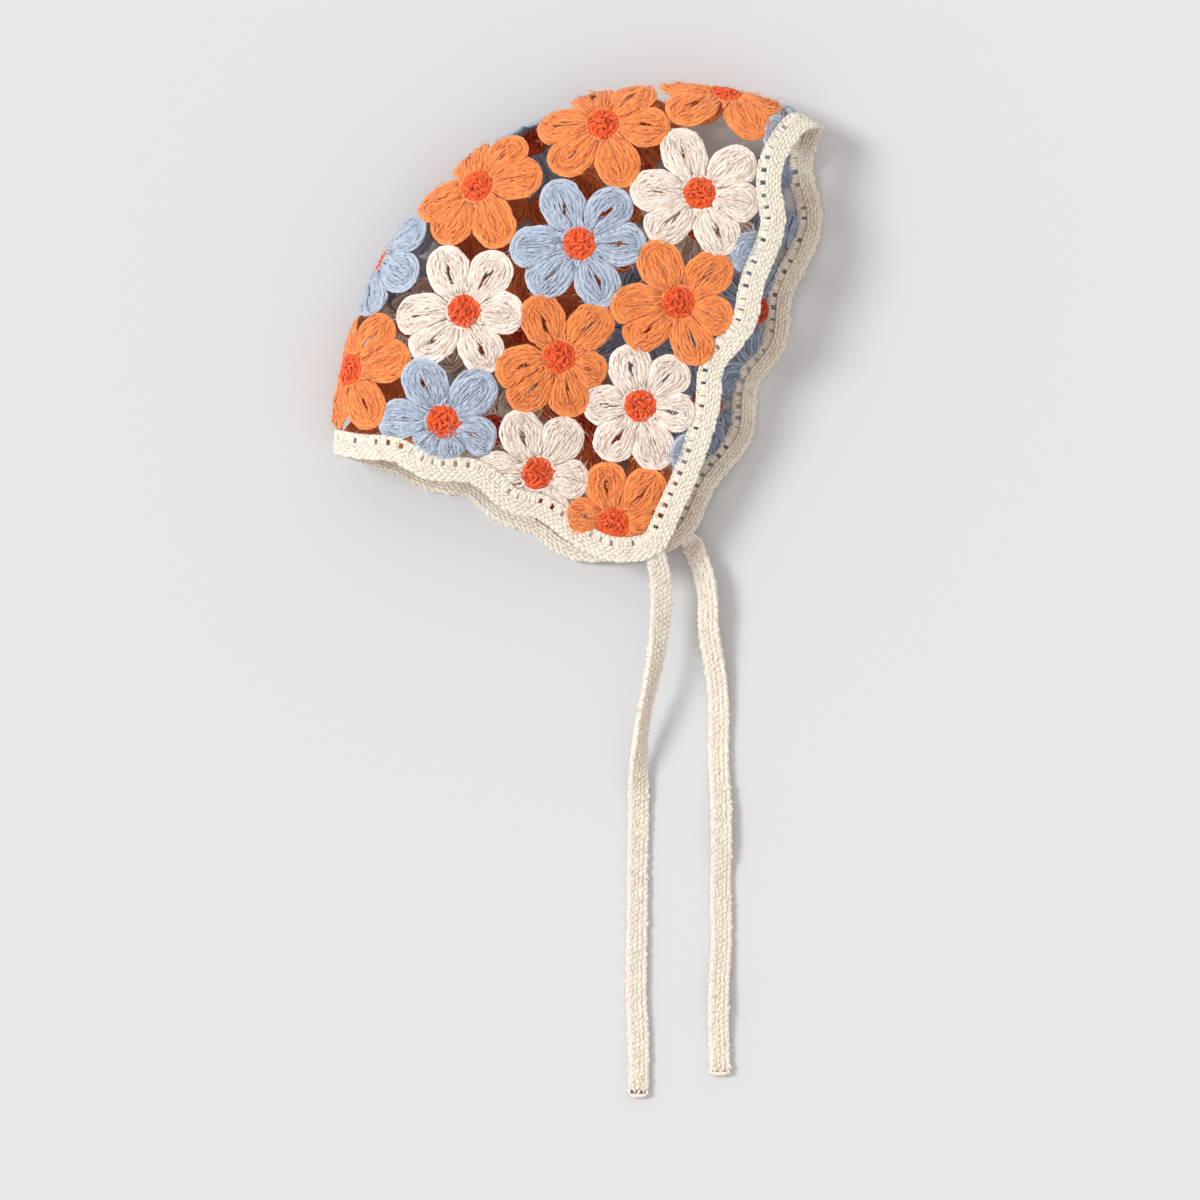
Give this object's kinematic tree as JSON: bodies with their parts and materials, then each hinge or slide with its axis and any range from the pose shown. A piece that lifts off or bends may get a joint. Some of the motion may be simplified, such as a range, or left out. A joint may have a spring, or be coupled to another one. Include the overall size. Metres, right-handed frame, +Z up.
{
  "type": "crocheted baby bonnet",
  "caption": "Openwork baby bonnet of crocheted flowers with a scalloped edging band and two flat ties, lying folded on its side.",
  "frame": {"origin": "on the surface it lies on, under the middle of the bonnet's own box, without the ties", "axes": "+X from the nape towards the face opening, +Y towards the top of the crown, +Z up off the surface, from the far layer to the near layer"},
  "size_m": [0.175, 0.3635, 0.0405],
  "materials": {
    "orange_yarn": "soft brushed yarn, orange",
    "cream_yarn": "soft brushed yarn, warm white",
    "blue_yarn": "soft brushed yarn, light blue",
    "red_yarn": "soft brushed yarn, red-orange",
    "edging_yarn": "matt crocheted yarn, cream",
    "tie_yarn": "matt crocheted cord, cream"
  },
  "bodies": {
    "root": {"near_flower_1": "orange_yarn", "near_flower_2": "orange_yarn", "near_flower_3": "cream_yarn", "near_flower_4": "blue_yarn", "near_flower_5": "cream_yarn", "near_flower_6": "orange_yarn", "near_flower_7": "orange_yarn", "near_flower_8": "orange_yarn", "near_flower_9": "blue_yarn", "near_flower_10": "cream_yarn", "near_flower_11": "cream_yarn", "near_flower_12": "orange_yarn", "near_flower_13": "orange_yarn", "near_flower_14": "blue_yarn", "far_flower_1": "orange_yarn", "far_flower_2": "blue_yarn", "far_flower_3": "orange_yarn", "far_flower_4": "cream_yarn", "far_flower_5": "orange_yarn", "far_flower_6": "orange_yarn", "far_flower_7": "cream_yarn", "far_flower_8": "orange_yarn", "far_flower_9": "blue_yarn", "far_flower_10": "blue_yarn", "far_flower_11": "cream_yarn", "far_flower_12": "orange_yarn", "far_flower_13": "blue_yarn", "far_flower_14": "orange_yarn", "far_flower_15": "cream_yarn", "far_flower_16": "blue_yarn", "near_centre_1": "red_yarn", "near_centre_2": "red_yarn", "near_centre_3": "red_yarn", "near_centre_4": "red_yarn", "near_centre_5": "red_yarn", "near_centre_6": "red_yarn", "near_centre_7": "red_yarn", "near_centre_8": "red_yarn", "near_centre_9": "red_yarn", "near_centre_10": "red_yarn", "near_centre_11": "red_yarn", "near_centre_12": "red_yarn", "near_centre_13": "red_yarn", "near_centre_14": "red_yarn", "far_centre_1": "red_yarn", "far_centre_2": "red_yarn", "far_centre_3": "red_yarn", "far_centre_4": "red_yarn", "far_centre_6": "red_yarn", "far_centre_7": "red_yarn", "far_centre_8": "red_yarn", "far_centre_9": "red_yarn", "far_centre_10": "red_yarn", "far_centre_11": "red_yarn", "far_centre_12": "red_yarn", "far_centre_13": "red_yarn", "far_centre_14": "red_yarn", "edging_band": "edging_yarn", "tie_near": "tie_yarn", "tie_far": "tie_yarn"}
  },
  "joints": []
}
